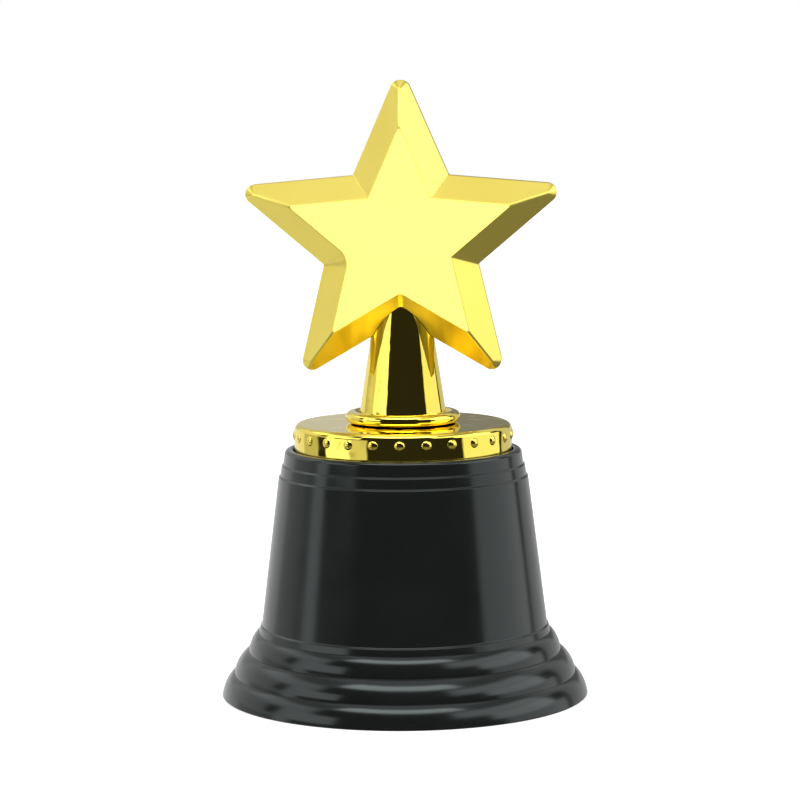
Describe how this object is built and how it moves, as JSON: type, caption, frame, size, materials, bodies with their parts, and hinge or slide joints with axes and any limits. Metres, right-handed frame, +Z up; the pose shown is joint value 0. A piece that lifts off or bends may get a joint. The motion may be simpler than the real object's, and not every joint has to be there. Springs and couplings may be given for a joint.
{
  "type": "star trophy",
  "caption": "Small award trophy: a bevelled gold star on a polished conical stem and studded disc, screwed to a hollow black bell-shaped base.",
  "frame": {"origin": "on the floor, on the axis of the base", "axes": "+Z up along the axis of the base and stem; the star's front face looks along -Y; +X is to the right of someone facing that front"},
  "size_m": [0.075, 0.075, 0.1253],
  "materials": {
    "black_plastic": "moulded black plastic with a soft gloss and a very fine grain",
    "polished_gold": "plastic metallised to a mirror-bright gold under clear lacquer",
    "satin_gold": "plastic metallised to a satin gold under clear lacquer",
    "brass_insert": "turned brass",
    "zinc_steel": "zinc-plated steel"
  },
  "bodies": {
    "root": {"base_shell": "black_plastic", "studded_disc": "polished_gold", "stem": "polished_gold", "star_front": "satin_gold", "star_back": "satin_gold", "stem_insert": "brass_insert", "tie_screw": "zinc_steel", "tie_washer": "zinc_steel"}
  },
  "joints": []
}
